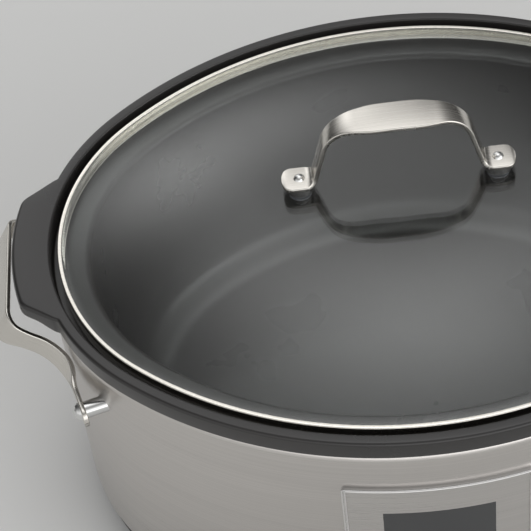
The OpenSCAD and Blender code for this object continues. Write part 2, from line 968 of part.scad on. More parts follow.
// The board is flat, and the housing round it is cut to the inside of the shell.
module board_block(half, back, foot, top)
  translate([-half, -cutter, foot])
    cube([2 * half, cutter + back, top - foot]);

housing_half = board_half + slide_gap + housing_wall;
housing_foot = board_foot - slide_gap - housing_wall;
housing_top = board_top + slide_gap + housing_wall;
board_screw_xs = [board_inset - board_half, board_half - board_inset];
board_screw_zs = [board_foot + board_inset, board_top - board_inset];

module at_board_screws(y)
  for (x = board_screw_xs, z = board_screw_zs)
    translate([x, y, z])
      rotate([90, 0, 0])
        children();

module control_housing()
  color("#33363a")
    difference() {
      union() {
        intersection() {
          difference() {
            board_block(housing_half, housing_back + housing_wall, housing_foot, housing_top);
            board_block(housing_half - housing_wall, housing_back, housing_foot + housing_wall,
              housing_top - housing_wall);
          }
          front_band(panel_half_angle, -side_radius + nudge, housing_front, housing_foot,
            housing_top);
        }
        front_band(panel_half_angle, flange_out - flange_sheet, flange_out,
          housing_top - housing_wall, panel_top);
        front_band(panel_half_angle, flange_out - flange_sheet, flange_out, panel_foot,
          housing_foot + housing_wall);
        at_board_screws(housing_back + nudge)
          rod(boss_d, solder_space + nudge);
      }
      at_board_screws(housing_back + housing_wall / 2)
        rod(small_screw_d + 0.1, solder_space + housing_wall / 2 + nudge);
      at_panel_screws(flange_out - flange_sheet - nudge)
        rod(small_screw_d + screw_play, flange_sheet + 2 * nudge);
    }

module control_board()
  color("darkgreen")
    difference() {
      translate([-board_half, board_y, board_foot])
        cube([2 * board_half, board_sheet, board_top - board_foot]);
      at_board_screws(board_y + board_sheet + nudge)
        rod(small_screw_d + screw_play, board_sheet + 2 * nudge);
    }

module control_board_screws()
  color("lightgray")
    at_board_screws(board_y)
      dome_screw(small_screw_d, board_sheet + solder_space, small_head_d, small_head_height);

button_xs = [for (angle = button_angles) (side_radius + 3) * sin(angle)];

module tact_switches()
  color("dimgray")
    for (x = button_xs)
      translate([x, board_y, button_z]) {
        translate([-switch_size / 2, -switch_body, -switch_size / 2])
          cube([switch_size, switch_body, switch_size]);
        rotate([90, 0, 0])
          rod(plunger_d, switch_body + plunger);
      }

module display_module()
  color("slategray")
    translate([-window_width / 2 - 1, board_y - display_depth, window_foot - 1])
      cube([window_width + 2, display_depth, window_height + 2]);

module panel_screws()
  color("lightgray")
    at_panel_screws(flange_out - flange_sheet - head_play)
      mirror([0, 0, 1])
        dome_screw(small_screw_d, flange_sheet + panel_boss - 1, small_head_d, small_head_height);

// How far out a button's stem ends, so that a full press just reaches its switch.
function stem_end(angle) =
  norm([(side_radius + 3) * sin(angle), side_radius + switch_body + plunger]) - side_radius
    + button_travel + 0.2;

module button(i)
  color("#3a3a3e")
    on_front(button_angles[i], 0, button_z) {
      translate([0, 0, flange_rest - button_flange])
        rotate_extrude($fn = round_fn)
          polygon(rounded([
            [0, 0], [button_flange_d / 2, 0], [button_flange_d / 2, button_flange],
            [button_d / 2, button_flange],
            [button_d / 2, face_out + button_proud - flange_rest + button_flange, 0.8],
            [0, face_out + button_proud - flange_rest + button_flange]
          ], 4));
      translate([0, 0, stem_end(button_angles[i])])
        rod(stem_d, flange_rest - stem_end(button_angles[i]));
    }

module button_power()
  button(0);

module button_mode()
  button(1);

module button_minus()
  button(2);

module button_plus()
  button(3);

// ---- Side handles ----

// The line of the strap in its tilted plane, as [distance out from the screws, y].
bend_u = (side_pad_y - side_bend_y) * tan(side_splay);
leg_lean = atan2(side_bend_y - side_grip_half, side_grip_reach - bend_u);
bend_turn = 90 - side_splay - leg_lean;
bend_reach = side_bend_radius * tan(bend_turn / 2);
bend_start = [bend_u - bend_reach * sin(side_splay), side_bend_y + bend_reach * cos(side_splay)];
strap_start = bend_start + 2 * [-sin(side_splay), cos(side_splay)];
arch_line = bent([
  strap_start, [bend_u, side_bend_y, side_bend_radius], [side_grip_reach, side_grip_half, 9],
  [side_grip_reach, -side_grip_half, 9], [bend_u, -side_bend_y, side_bend_radius],
  [strap_start.x, -strap_start.y]
]);
// The legs and the grip, looking along the legs: the grip is widest.
arch_quarter = [
  [side_grip_half - 3.5, grip_width / 2, 8], [side_grip_half + 1.5, leg_width / 2, 3],
  [strap_start.y + nudge, leg_width / 2, 0.5]
];
module tilted()
  translate([side_pad_x, 0, side_z])
    rotate([0, -side_tilt, 0])
      children();

// A pad stands upright. It runs from the strap's end to where its bend starts.
pad_inner = (side_pad_y - bend_start.y) / cos(side_splay) + 1;

module side_pad()
  translate([side_pad_x, side_pad_y, side_z])
    rotate([90, 0, 90 + side_splay])
      translate([0, 0, -strap / 2])
        linear_extrude(height = strap)
          polygon(rounded([
            [-pad_inner, -side_pad_width / 2], [pad_reach, -side_pad_width / 2, 5],
            [pad_reach, side_pad_width / 2, 5], [-pad_inner, side_pad_width / 2]
          ]));

module side_strap()
  difference() {
    union() {
      tilted()
        intersection() {
          linear_extrude(height = grip_width + 2, center = true)
            polygon(sheet_outline(arch_line, strap));
          rotate([90, 0, 90])
            linear_extrude(height = 4 * side_grip_reach, center = true)
              polygon(strap_outline(arch_quarter));
        }
      for (side = [0, 1])
        mirror([0, side, 0])
          side_pad();
    }
    for (side = [0, 1])
      mirror([0, side, 0])
        translate([side_pad_x, side_pad_y, side_z])
          rotate([0, 90, side_splay])
            translate([0, 0, -strap])
              rod(screw_hole, 2 * strap);
  }

module right_handle()
  color("silver")
    side_strap();

module left_handle()
  color("silver")
    mirror([1, 0, 0])
      side_strap();

// Each spacer is cut to sit on the curve of the shell.
module handle_spacers()
  color("lightgray")
    difference() {
      at_side_screws()
        translate([0, 0, -side_spacer_d])
          ring(side_spacer_d, screw_hole, side_standoff + side_spacer_d);
      oval_block(shell_reach, side_z - side_spacer_d, side_z + side_spacer_d);
    }

side_screw_length = side_standoff + strap + washer_seat + side_nut_height + 1.5;

module handle_screws()
  color("lightgray")
    at_side_screws()
      translate([0, 0, side_standoff + strap])
        dome_screw(handle_screw_d, side_screw_length, side_head_d, side_head_height);

// A wedge washer inside the shell gives the nut a flat face, square to the screw.
module handle_washers()
  color("dimgray")
    intersection() {
      at_side_screws()
        translate([0, 0, -washer_seat])
          ring(side_washer_d, screw_hole, 2 * washer_seat);
      oval_block(shell_reach - shell_sheet, side_z - spacer_d, side_z + spacer_d);
    }

module handle_nuts()
  color("silver")
    at_side_screws()
      translate([0, 0, -washer_seat - side_nut_height])
        hex_nut(side_nut_width, handle_screw_d + 0.1, side_nut_height);

lid_glass();
lid_rim();
lid_handle();
lid_handle_screws();
lid_handle_spacers();
lid_seal_washers();
lid_lower_washers();
lid_cap_nuts();
crock();
outer_shell();
inner_liner();
heating_band();
band_clamps();
insulation_wrap();
thermostat_sensor();
thermal_fuse();
fuse_clip();
base_tray();
feet();
base_screws();
liner_stud();
centre_washer();
centre_nut();
power_board();
relay();
capacitor();
terminal_block();
power_board_screws();
control_housing();
control_board();
control_board_screws();
tact_switches();
display_module();
display_window();
panel_face();
panel_bezel();
panel_screws();
button_power();
button_mode();
button_minus();
button_plus();
left_handle();
right_handle();
handle_spacers();
handle_screws();
handle_washers();
handle_nuts();
cord_gland();
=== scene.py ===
import json
import math

import bmesh
import bpy
from mathutils import Matrix, Vector


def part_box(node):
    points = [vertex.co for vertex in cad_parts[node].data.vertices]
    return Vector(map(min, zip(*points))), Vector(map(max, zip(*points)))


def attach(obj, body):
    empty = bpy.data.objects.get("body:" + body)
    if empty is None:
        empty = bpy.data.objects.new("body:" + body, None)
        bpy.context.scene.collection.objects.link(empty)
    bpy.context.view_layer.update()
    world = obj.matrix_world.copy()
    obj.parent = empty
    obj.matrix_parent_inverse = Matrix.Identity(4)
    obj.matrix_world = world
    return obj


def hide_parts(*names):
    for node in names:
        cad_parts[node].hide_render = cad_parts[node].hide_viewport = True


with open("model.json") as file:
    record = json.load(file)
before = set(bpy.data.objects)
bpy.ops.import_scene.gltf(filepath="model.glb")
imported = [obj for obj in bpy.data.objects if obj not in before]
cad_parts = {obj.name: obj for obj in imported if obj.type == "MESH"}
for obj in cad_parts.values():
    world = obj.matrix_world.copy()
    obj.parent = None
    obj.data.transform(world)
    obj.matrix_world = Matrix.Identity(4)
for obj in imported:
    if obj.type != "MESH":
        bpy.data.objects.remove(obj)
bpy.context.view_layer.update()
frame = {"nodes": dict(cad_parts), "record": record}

# The slow cooker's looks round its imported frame. Metres, +Z up, the control panel towards -Y.
# Walls are drawn as outlines of (distance out from the middle of the lid rim, height).

MM = 0.001


# ---- Sizes from the frame ----

rim_low, rim_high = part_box("lid_rim")
crock_low, crock_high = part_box("crock")
shell_low, shell_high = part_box("outer_shell")
glass_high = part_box("lid_glass")[1]
lid_strap_low, lid_strap_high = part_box("lid_handle")
spacer_low, spacer_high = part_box("handle_spacers")
bezel_low, bezel_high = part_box("panel_bezel")

RIM_WIDTH = 2.4 * MM
END_RADIUS = 115 * MM
HALF_LENGTH = rim_high.x - RIM_WIDTH / 2
HALF_WIDTH = rim_high.y - RIM_WIDTH / 2
END_X = HALF_LENGTH - END_RADIUS
SIDE_RADIUS = (END_X**2 + HALF_WIDTH**2 - END_RADIUS**2) / (2 * (HALF_WIDTH - END_RADIUS))
SIDE_Y = SIDE_RADIUS - HALF_WIDTH
# The angle at which an end arc meets a side arc
JUNCTION = math.atan2(SIDE_Y, END_X)

SEAT_Z = rim_low.z
RIM_Z = rim_high.z
CROCK_RIM_Z = crock_high.z
CROCK_REACH = crock_high.y - HALF_WIDTH
SHELL_REACH = shell_high.y - HALF_WIDTH


# ---- Outlines ----


def mix(a, b, share):
    """From a at share 0 to b at share 1."""
    return a + (b - a) * share


def ease(share):
    """From 0 to 1, level at both ends."""
    share = min(max(share, 0), 1)
    return share * share * (3 - 2 * share)


def rounded(points, steps=6, closed=False):
    """The outline through the points, with each corner (x, y, radius) turned into an arc."""
    outline = []
    for i, point in enumerate(points):
        here = Vector(point[:2])
        inner = closed or 0 < i < len(points) - 1
        if len(point) < 3 or not inner:
            outline.append(here)
            continue
        before = (Vector(points[i - 1][:2]) - here).normalized()
        after = (Vector(points[(i + 1) % len(points)][:2]) - here).normalized()
        half = before.angle(after) / 2
        centre = here + (before + after).normalized() * point[2] / math.sin(half)
        first = here + before * point[2] / math.tan(half) - centre
        last = here + after * point[2] / math.tan(half) - centre
        turn = first.angle_signed(last)
        for k in range(steps + 1):
            outline.append(centre + Matrix.Rotation(-turn * k / steps, 2) @ first)
    return outline


def spaced(line, step):
    """The open line with points added, so that none are further apart than step."""
    out = [line[0]]
    for a, b in zip(line, line[1:]):
        count = max(1, math.ceil((b - a).length / step))
        out += [a.lerp(b, k / count) for k in range(1, count + 1)]
    return out


# ---- Meshes ----


def piece(name, points, faces, body, slot, material, nodes=(), sharp=40, uvs=None):
    """A new piece from its points and faces. It rides on a body and stands for CAD nodes."""
    mesh = bpy.data.meshes.new(name)
    mesh.from_pydata([tuple(p) for p in points], [], faces)
    if uvs:
        layer = mesh.uv_layers.new(name="Along")
        for loop in mesh.loops:
            layer.data[loop.index].uv = uvs[loop.vertex_index]
    made = bmesh.new()
    made.from_mesh(mesh)
    bmesh.ops.remove_doubles(made, verts=made.verts, dist=1e-7)
    bmesh.ops.recalc_face_normals(made, faces=made.faces)
    made.to_mesh(mesh)
    made.free()
    mesh.shade_smooth()
    mesh.set_sharp_from_angle(angle=math.radians(sharp))
    mesh.materials.append(material)
    obj = bpy.data.objects.new(name, mesh)
    bpy.context.scene.collection.objects.link(obj)
    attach(obj, body)
    if nodes:
        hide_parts(*nodes)
    return obj


def places_round(end_angles, side_steps=56):
    """Places round the oval: (arc's centre x, y, arc's radius, direction out)."""
    sides = [mix(JUNCTION, math.pi - JUNCTION, i / side_steps) for i in range(side_steps)]
    arcs = [
        (END_X, 0, END_RADIUS, end_angles, 0),
        (0, -SIDE_Y, SIDE_RADIUS, sides, 0),
        (-END_X, 0, END_RADIUS, end_angles, math.pi),
        (0, SIDE_Y, SIDE_RADIUS, sides, math.pi),
    ]
    return [
        (x, y, radius, Vector((math.cos(a + turn), math.sin(a + turn))))
        for x, y, radius, angles, turn in arcs
        for a in angles
    ]


def even(count):
    """Directions spread evenly over an end arc, as angles."""
    return [mix(-JUNCTION, JUNCTION, i / count) for i in range(count)]


PLACES = places_round(even(64))


def at(place, out, z):
    """The 3-D point that stands out from the oval at a place."""
    x, y, radius, way = place
    return Vector((x + way.x * (radius + out), y + way.y * (radius + out), z))


def swept(outline, places=PLACES, ring=False):
    """The points and faces of an outline carried round the oval. outline is a list of
    (out, z), or a function of a place that gives one. A ring's outline is closed, and
    another's two ends are closed by flat faces."""
    rings = [outline(p) if callable(outline) else outline for p in places]
    count, turns = len(rings[0]), len(places)
    points = [at(p, out, z) for p, line in zip(places, rings) for out, z in line]
    faces = []
    for i in range(turns):
        here, there = i * count, (i + 1) % turns * count
        for j in range(count if ring else count - 1):
            k = (j + 1) % count
            faces.append((here + j, there + j, there + k, here + k))
    if not ring:
        faces.append([i * count for i in range(turns)])
        faces.append([i * count + count - 1 for i in range(turns)])
    return points, faces


def strap(line, half_width, wide, thickness, round_edge):
    """A bent strip of metal along a line of 3-D points. half_width and wide give half its
    width and the direction of its width at each point. The UV map runs along and across it."""
    corner = [(-1, -1), (1, -1), (1, 1), (-1, 1)]
    edge_steps = 4
    points, uvs = [], []
    along = 0
    for i, here in enumerate(line):
        ahead, behind = line[min(i + 1, len(line) - 1)], line[max(i - 1, 0)]
        along += (here - line[i - 1]).length if i else 0
        across = wide(i)
        through = (ahead - behind).cross(across).normalized()
        half_w, half_t = half_width(i), thickness / 2
        for c, (w, t) in enumerate(corner):
            for k in range(edge_steps + 1):
                a = math.pi + math.pi / 2 * (c + k / edge_steps)
                u = w * (half_w - round_edge) + round_edge * math.cos(a)
                v = t * (half_t - round_edge) + round_edge * math.sin(a)
                points.append(here + across * u + through * v)
                uvs.append((along, u))
    count = len(corner) * (edge_steps + 1)
    faces = []
    for i in range(len(line) - 1):
        for j in range(count):
            k = (j + 1) % count
            faces.append((i * count + j, i * count + k, (i + 1) * count + k, (i + 1) * count + j))
    faces.append(list(range(count)))
    faces.append([len(points) - count + j for j in range(count)])
    return points, faces, uvs


# ---- Materials ----


class Paint:
    """A material with short calls for its nodes. Constants go on the shader's own sockets."""

    def __init__(self, name, colour, rough, metal=0.0, **sockets):
        self.material = bpy.data.materials.new(name)
        self.material.use_nodes = True
        self.tree = self.material.node_tree
        self.shader = self.tree.nodes["Principled BSDF"]
        self.set("Base Color", (*colour, 1))
        self.set("Roughness", rough)
        self.set("Metallic", metal)
        for key, value in sockets.items():
            self.set(key.replace("_", " "), value)

    def set(self, key, value):
        self.shader.inputs[key].default_value = value

    def add(self, kind, inputs=(), **settings):
        node = self.tree.nodes.new("ShaderNode" + kind)
        for key, value in settings.items():
            setattr(node, key, value)
        for key, value in dict(inputs).items():
            if isinstance(value, bpy.types.NodeSocket):
                self.tree.links.new(value, node.inputs[key])
            else:
                node.inputs[key].default_value = value
        return node

    def drive(self, key, value):
        self.tree.links.new(value, self.shader.inputs[key])

    def space(self, scale, source="Object"):
        """The object's own coordinates, times scale."""
        where = self.add("TexCoord").outputs[source]
        return self.add("Mapping", {"Vector": where, "Scale": scale}).outputs[0]

    def noise(self, vector, scale=1.0, detail=3.0, rough=0.55):
        inputs = {"Vector": vector, "Scale": scale, "Detail": detail, "Roughness": rough}
        return self.add("TexNoise", inputs).outputs["Fac"]

    def between(self, value, low, high, start=0.3, end=0.7):
        """value from start to end becomes low to high."""
        inputs = {"Value": value, "From Min": start, "From Max": end, "To Min": low, "To Max": high}
        return self.add("MapRange", inputs).outputs[0]

    def blend(self, share, first, second):
        node = self.add("Mix", data_type="RGBA")
        self.tree.links.new(share, node.inputs["Factor"])
        for socket, value in zip((node.inputs[6], node.inputs[7]), (first, second)):
            if isinstance(value, bpy.types.NodeSocket):
                self.tree.links.new(value, socket)
            else:
                socket.default_value = (*value, 1)
        return node.outputs[2]

    def sum(self, first, second, operation="ADD"):
        return self.add("Math", {0: first, 1: second}, operation=operation).outputs[0]

    def bump(self, height, distance, strength=1.0, normal=None):
        inputs = {"Height": height, "Distance": distance, "Strength": strength}
        if normal:
            inputs["Normal"] = normal
        return self.add("Bump", inputs).outputs[0]


def brushed(name, colour, rough, scale, source="Object", spread=0.06, grain=0.01 * MM, **sockets):
    """Brushed metal. scale is large across the brushing and small along it."""
    paint = Paint(name, colour, rough, 1.0, **sockets)
    streaks = paint.noise(paint.space(scale, source), 1.0, 5.0, 0.7)
    wear = paint.noise(paint.space((9, 9, 9)), 1.0, 3.0)
    grained = paint.between(streaks, rough - spread, rough + spread)
    worn = paint.between(wear, 0.9, 1.1)
    paint.drive("Roughness", paint.sum(grained, worn, "MULTIPLY"))
    light = tuple(min(1, c * 1.08) for c in colour)
    dark = tuple(c * 0.88 for c in colour)
    paint.drive("Base Color", paint.blend(paint.between(streaks, 0, 1), dark, light))
    paint.drive("Normal", paint.bump(streaks, grain))
    return paint


def polished(name, colour, rough):
    """Polished metal with faint scuffs."""
    paint = Paint(name, colour, rough, 1.0)
    scuffs = paint.noise(paint.space((900, 900, 900)), 1.0, 4.0)
    haze = paint.noise(paint.space((40, 40, 40)), 1.0, 3.0)
    paint.drive("Roughness", paint.between(haze, rough * 0.8, rough * 1.6))
    paint.drive("Base Color", paint.blend(haze, tuple(c * 0.92 for c in colour), colour))
    paint.drive("Normal", paint.bump(scuffs, 0.004 * MM))
    return paint.material


def moulded(name, colour, rough, grain=0.03 * MM, size=1400):
    """Moulded plastic or rubber with a fine spark-eroded grain."""
    paint = Paint(name, colour, rough)
    pits = paint.noise(paint.space((size, size, size)), 1.0, 2.0)
    broad = paint.noise(paint.space((30, 30, 30)), 1.0, 3.0)
    paint.drive("Roughness", paint.between(broad, rough * 0.88, min(1, rough * 1.12)))
    paint.drive("Base Color", paint.blend(broad, tuple(c * 0.85 for c in colour),
                                          tuple(c * 1.15 for c in colour)))
    paint.drive("Normal", paint.bump(pits, grain, 0.6))
    return paint.material


def glaze():
    """Black satin glaze: slight orange peel, and a little brown where it breaks."""
    paint = Paint("stoneware_glaze", (0.02, 0.019, 0.0185), 0.3)
    paint.set("Coat Weight", 0.1)
    paint.set("Coat Roughness", 0.08)
    peel = paint.noise(paint.space((55, 55, 55)), 1.0, 0.0, 0.3)
    specks = paint.noise(paint.space((1500, 1500, 1500)), 1.0, 1.0)
    broad = paint.noise(paint.space((14, 14, 14)), 1.0, 4.0)
    paint.drive("Roughness", paint.between(broad, 0.26, 0.33))
    tone = paint.blend(broad, (0.017, 0.0165, 0.0165), (0.025, 0.0225, 0.0215))
    paint.drive("Base Color", paint.blend(paint.between(specks, 0, 0.15, 0.66, 0.76), tone,
                                          (0.05, 0.045, 0.042)))
    paint.drive("Normal", paint.bump(peel, 0.06 * MM, 0.5))
    return paint.material


def lid_glass_material():
    """Clear tempered glass, very slightly wavy. Shadow rays pass it almost whole."""
    paint = Paint("tempered_glass", (0.95, 0.975, 0.965), 0.0)
    paint.set("Transmission Weight", 1.0)
    paint.set("IOR", 1.5)
    tint = paint.noise(paint.space((12, 30, 12)), 1.0, 1.0)
    paint.drive("Base Color", paint.blend(tint, (0.94, 0.97, 0.96), (0.96, 0.98, 0.97)))
    paint.drive("Normal", paint.bump(paint.noise(paint.space((9, 9, 9)), 1.0, 1.0), 0.02 * MM, 0.5))
    clear = paint.add("BsdfTransparent", {"Color": (0.92, 0.93, 0.925, 1)})
    ray = paint.add("LightPath").outputs["Is Shadow Ray"]
    either = paint.add("MixShader", {0: ray, 1: paint.shader.outputs[0], 2: clear.outputs[0]})
    out = paint.tree.nodes["Material Output"]
    paint.tree.links.new(either.outputs[0], out.inputs["Surface"])
    return paint.material


def board_material():
    """Green solder mask with a fine pattern of tracks."""
    paint = Paint("circuit_board", (0.03, 0.16, 0.07), 0.35)
    where = paint.space((260, 260, 260))
    tracks = paint.add("TexBrick", {
        "Vector": where, "Scale": 1.0, "Mortar Size": 0.03,
        "Color1": (0.025, 0.14, 0.06, 1), "Color2": (0.03, 0.17, 0.075, 1),
        "Mortar": (0.05, 0.26, 0.12, 1),
    })
    paint.drive("Base Color", tracks.outputs["Color"])
    paint.drive("Normal", paint.bump(tracks.outputs["Fac"], 0.03 * MM))
    return paint.material


def blanket_material():
    """White-cream glass-fibre blanket: a plain weave over matted fibre."""
    paint = Paint("glass_fibre", (0.78, 0.75, 0.64), 0.95, Sheen_Weight=0.3)
    where = paint.space((300, 300, 300))
    weave = paint.add("TexWave", {"Vector": where, "Scale": 1.0, "Distortion": 3.0})
    fibre = paint.noise(paint.space((900, 900, 200)), 1.0, 4.0)
    height = paint.sum(weave.outputs["Fac"], fibre)
    paint.drive("Base Color", paint.blend(fibre, (0.66, 0.62, 0.5), (0.86, 0.83, 0.73)))
    paint.drive("Normal", paint.bump(height, 0.3 * MM))
    return paint.material


def shell_steel():
    """Stainless sheet, brushed level round the housing."""
    paint = brushed("shell_steel", (0.60, 0.575, 0.55), 0.33, (5, 5, 2600), spread=0.05, Anisotropic=0.6)
    radial = paint.add("Tangent", direction_type="RADIAL", axis="Z")
    paint.drive("Tangent", radial.outputs[0])
    return paint.material


def strap_steel():
    """Satin steel strap, brushed along its length."""
    return brushed("strap_steel", (0.66, 0.635, 0.59), 0.24, (12, 2600, 1), "UV").material


def lens():
    """Glossy near-black window over the display."""
    paint = Paint("display_lens", (0.012, 0.013, 0.015), 0.06, Coat_Weight=0.6, Coat_Roughness=0.03)
    dust = paint.noise(paint.space((600, 600, 600)), 1.0, 3.0)
    paint.drive("Roughness", paint.between(dust, 0.05, 0.12))
    paint.drive("Normal", paint.bump(paint.noise(paint.space((25, 25, 25))), 0.02 * MM))
    return paint.material


MATERIALS = {
    "glass": lid_glass_material(),
    "rim_steel": brushed("rim_steel", (0.80, 0.77, 0.71), 0.22, (900, 900, 2400), spread=0.05).material,
    "strap_steel": strap_steel(),
    "fastener_steel": polished("fastener_steel", (0.72, 0.72, 0.71), 0.14),
    "plain_steel": polished("plain_steel", (0.52, 0.52, 0.52), 0.35),
    "seal": moulded("seal_silicone", (0.1, 0.1, 0.11), 0.6),
    "stoneware": glaze(),
    "shell_steel": shell_steel(),
    "liner_paint": moulded("liner_paint", (0.13, 0.13, 0.135), 0.42, 0.02 * MM, 700),
    "heater": brushed("heater_foil", (0.62, 0.6, 0.57), 0.4, (60, 60, 900)).material,
    "blanket": blanket_material(),
    "sensor": polished("sensor_brass", (0.68, 0.55, 0.3), 0.3),
    "fuse": moulded("fuse_ceramic", (0.76, 0.7, 0.6), 0.6),
    "tray_plastic": moulded("tray_plastic", (0.022, 0.022, 0.024), 0.5),
    "foot_rubber": moulded("foot_rubber", (0.02, 0.02, 0.02), 0.75),
    "board": board_material(),
    "relay_plastic": moulded("relay_plastic", (0.06, 0.14, 0.4), 0.45),
    "capacitor_can": polished("capacitor_can", (0.3, 0.3, 0.34), 0.35),
    "terminal_plastic": moulded("terminal_plastic", (0.08, 0.34, 0.18), 0.45),
    "switch_plastic": moulded("switch_plastic", (0.04, 0.04, 0.04), 0.45),
    "housing_plastic": moulded("housing_plastic", (0.06, 0.06, 0.065), 0.5),
    "display": moulded("display_panel", (0.3, 0.34, 0.3), 0.25, 0.005 * MM),
    "window": lens(),
    "panel_steel": brushed("panel_steel", (0.58, 0.56, 0.54), 0.3, (5, 5, 2600), spread=0.05).material,
    "bezel_chrome": polished("bezel_chrome", (0.78, 0.77, 0.76), 0.07),
    "button_plastic": moulded("button_plastic", (0.03, 0.03, 0.033), 0.32, 0.01 * MM),
    "gland_rubber": moulded("gland_rubber", (0.02, 0.02, 0.02), 0.65),
}

node_slots = {row["node"]: row["material_slot"] for row in frame["record"]["subparts"]}
for name, node in frame["nodes"].items():
    for held in node.material_slots:
        held.material = MATERIALS[node_slots[name]]


def standing_for(name, shape, body, *nodes, **options):
    """A piece in the finish of the first CAD node that it stands for."""
    slot = node_slots[nodes[0]]
    return piece(name, shape[0], shape[1], body, slot, MATERIALS[slot], nodes, **options)


# ---- Crock ----

CAVITY_Z = crock_low.z + 9 * MM
CAVITY_LEAN = 8 * MM
WALL_TOP_OUT = -15.5 * MM
WALL = 7 * MM
GROOVE_OUT = 5.2 * MM
RIM_UNDER = CROCK_RIM_Z - 12 * MM
TAB_UNDER = CROCK_RIM_Z - 9.5 * MM
TAB_HALF = 37 * MM
TAB_ROOT_HALF = TAB_HALF + 12 * MM
TAB_ROOT_RADIUS = 14 * MM
TAB_EDGE = crock_high.x
TAB_ROOT_X = HALF_LENGTH + CROCK_REACH - 8 * MM
FLOOR_FILL = -60 * MM
LIP_WIDTH = 4 * MM
TAB_BLEND = 9 * MM
FOOT_RISE = 1.2 * MM

TAB_RADIUS = TAB_EDGE - END_X
TAB_ANGLE = math.asin(TAB_HALF / TAB_RADIUS)
TAB_CORNER = 9 * MM


def tab_edge(share):
    """A point of the tab's outer edge, which is bowed about the middle of the end arc."""
    angle = TAB_ANGLE * share
    return END_X + TAB_RADIUS * math.cos(angle), TAB_RADIUS * math.sin(angle)


tab_outline = rounded([
    (TAB_ROOT_X - 34 * MM, TAB_HALF + 26 * MM), (TAB_ROOT_X, TAB_ROOT_HALF, TAB_ROOT_RADIUS),
    (*tab_edge(1), TAB_CORNER), *(tab_edge(0.75 - k * 0.125) for k in range(13)),
    (*tab_edge(-1), TAB_CORNER), (TAB_ROOT_X, -TAB_ROOT_HALF, TAB_ROOT_RADIUS),
    (TAB_ROOT_X - 34 * MM, -TAB_HALF - 26 * MM),
], 12)


def tab_reach(way):
    """How far out of the oval a lift tab reaches, along a way out of an end arc."""
    way = Vector((abs(way.x), way.y))
    far = 0
    for a, b in zip(tab_outline, tab_outline[1:]):
        start = a - Vector((END_X, 0))
        run = b - a
        den = way.x * run.y - way.y * run.x
        if abs(den) < 1e-12:
            continue
        share = (start.x * way.y - start.y * way.x) / den
        if -1e-9 <= share <= 1 + 1e-9:
            hit = start + run * share
            if hit.dot(way) > 0:
                far = max(far, hit.length)
    return far - END_RADIUS


def crock_profile(place):
    """The crock's wall at a place, from under its floor up the outside and down into it."""
    reach = CROCK_REACH
    if place[2] == END_RADIUS:
        reach = max(reach, tab_reach(place[3]))
    tab = ease((reach - CROCK_REACH) / TAB_BLEND)
    lip = CROCK_REACH - LIP_WIDTH
    edge = mix(2, 2.6, tab) * MM
    # The underside of the lip, which thins towards the tab's edge
    thinning = tab * (TAB_UNDER - RIM_UNDER)
    span = reach - edge - lip
    under = [
        (lip + span * k / 6, RIM_UNDER + thinning * ease(span * k / 6 / TAB_BLEND))
        for k in range(7)
    ]
    side_foot = under[-1][1]
    foot_out = WALL_TOP_OUT - CAVITY_LEAN + WALL
    outside = rounded([
        (FLOOR_FILL, crock_low.z + FOOT_RISE),
        (foot_out - 42 * MM, crock_low.z + FOOT_RISE, 0.8 * MM),
        (foot_out - 40.5 * MM, crock_low.z, 0.6 * MM),
        (foot_out, crock_low.z, 31 * MM),
        (WALL_TOP_OUT + WALL - 0.1 * MM, RIM_UNDER, 5 * MM), (lip, RIM_UNDER),
    ], 10)
    rim = rounded([
        under[-1], (reach, side_foot, edge), (reach, CROCK_RIM_Z, edge),
        (GROOVE_OUT, CROCK_RIM_Z, 1.2 * MM), (GROOVE_OUT, SEAT_Z, 1.5 * MM),
        (WALL_TOP_OUT, SEAT_Z, 3.5 * MM), (WALL_TOP_OUT - CAVITY_LEAN, CAVITY_Z, 24 * MM),
        (FLOOR_FILL, CAVITY_Z),
    ], 8)
    return outside[:-1] + [Vector(p) for p in under[:-1]] + rim


close_angles = sorted(set(even(64)) | {
    math.radians(side * degrees / 2) for side in (-1, 1) for degrees in range(10, 60)
})
crock_places = places_round(close_angles)
standing_for("crock_glazed", swept(crock_profile, crock_places), "crock", "crock", sharp=60)

# ---- Lid ----

GLASS_TOP_EDGE = RIM_Z - 0.8 * MM
GLASS_OUT = RIM_WIDTH / 2 - 0.9 * MM
DOME_TOP = glass_high.z
DOME_EDGE = -RIM_WIDTH
GLASS = 4 * MM
GLASS_CHAMFER = 0.4 * MM
dome_span = END_RADIUS + DOME_EDGE
dome_height = DOME_TOP - GLASS_TOP_EDGE
dome_radius = (dome_span**2 + dome_height**2) / (2 * dome_height)
DOME_STEPS = 40


def dome_z(out):
    """The height of the glass's upper face."""
    return DOME_TOP - dome_radius + math.sqrt(dome_radius**2 - (out + END_RADIUS) ** 2)


dome = [
    (out, dome_z(out))
    for out in (mix(-END_RADIUS, DOME_EDGE, k / DOME_STEPS) for k in range(DOME_STEPS + 1))
]
glass_outline = (
    dome
    + [(GLASS_OUT - GLASS_CHAMFER, GLASS_TOP_EDGE), (GLASS_OUT, GLASS_TOP_EDGE - GLASS_CHAMFER)]
    + [(GLASS_OUT, GLASS_TOP_EDGE - GLASS + GLASS_CHAMFER)]
    + [(GLASS_OUT - GLASS_CHAMFER, GLASS_TOP_EDGE - GLASS)]
    + [(out, z - GLASS) for out, z in reversed(dome)]
)
standing_for("lid_dome", swept(glass_outline), "lid", "lid_glass", sharp=50)

